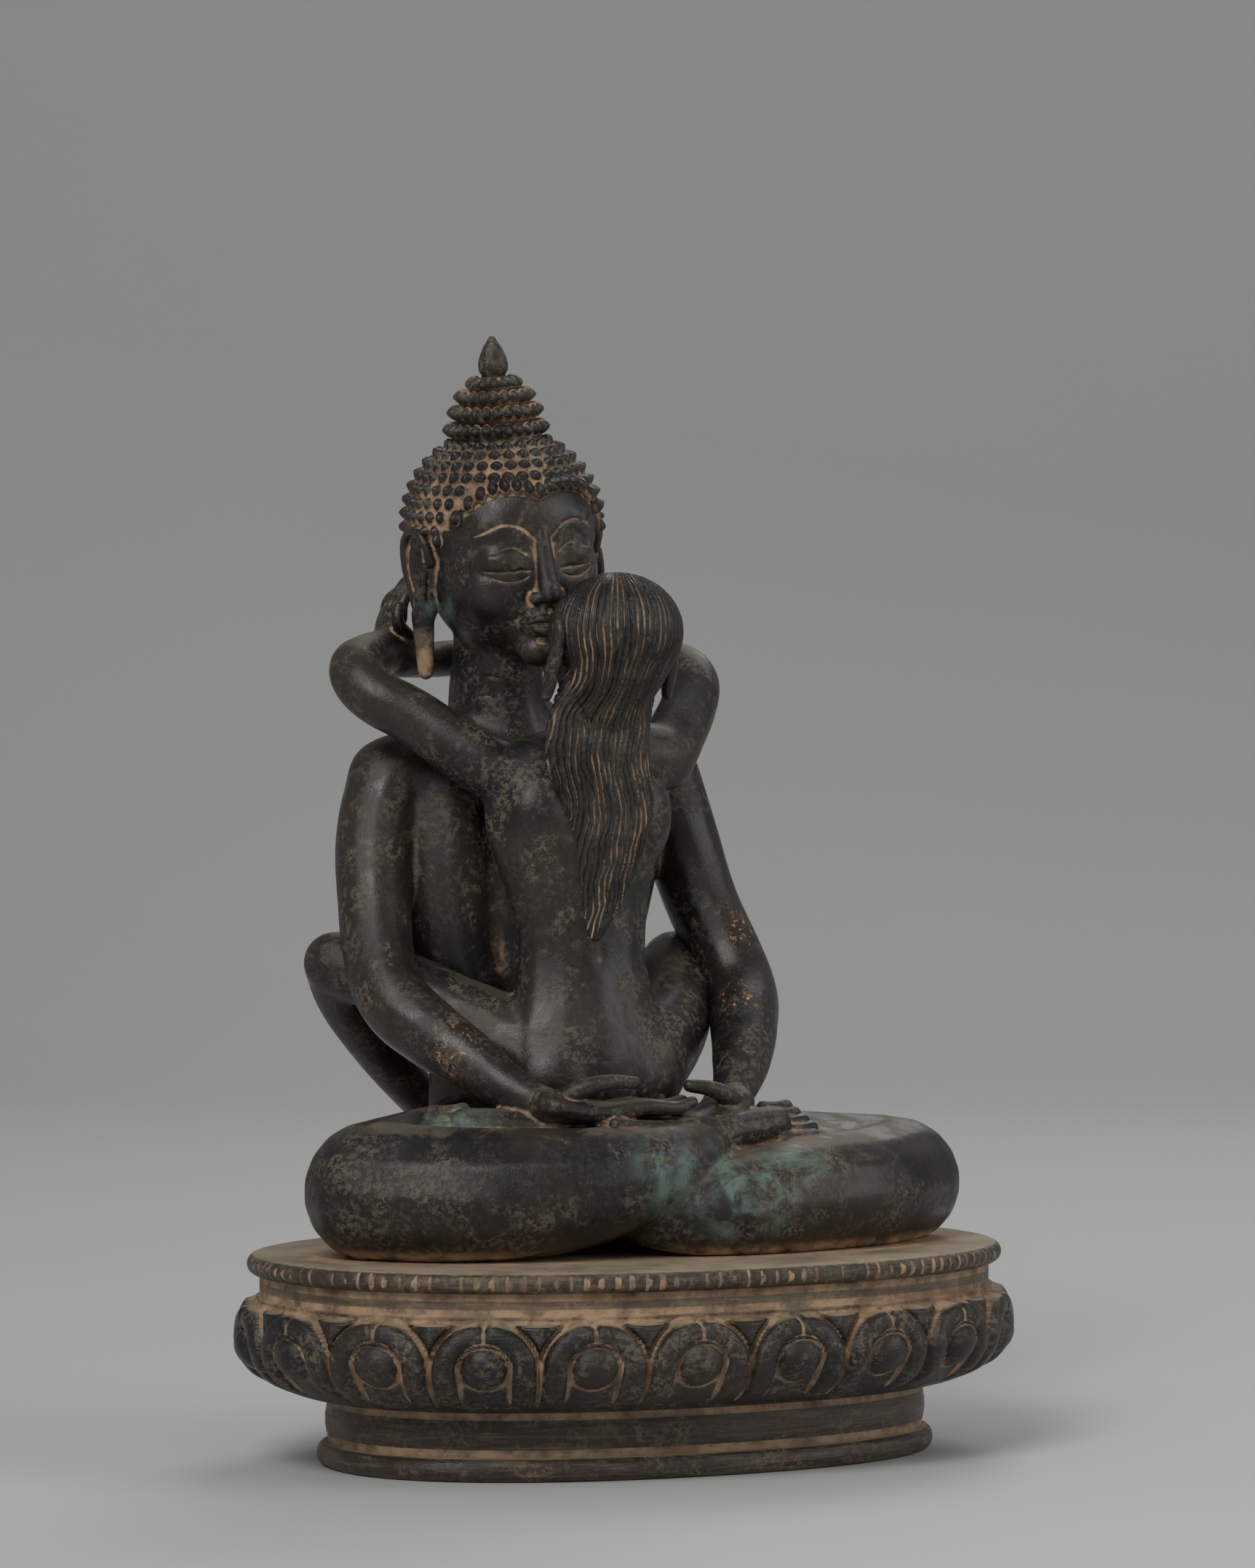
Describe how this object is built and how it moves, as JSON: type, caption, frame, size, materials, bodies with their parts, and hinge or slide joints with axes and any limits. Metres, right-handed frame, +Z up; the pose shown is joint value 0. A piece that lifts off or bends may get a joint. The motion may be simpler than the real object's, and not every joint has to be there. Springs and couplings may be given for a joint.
{
  "type": "samantabhadra statue",
  "caption": "Cast bronze statue of a seated deity embracing his consort, cross-legged on an oval lotus-petal base.",
  "frame": {"origin": "centre of the base's underside", "axes": "+Z up, front toward -Y, +X toward the seated deity's left"},
  "size_m": [0.2464, 0.1734, 0.34],
  "materials": {
    "base_bronze": "dark brown bronze patina with tan clay in the recesses",
    "figure_bronze": "near-black bronze patina, rubbed smooth on the high places"
  },
  "bodies": {
    "root": {"lotus_base": "base_bronze", "embracing_couple": "figure_bronze"}
  },
  "joints": []
}
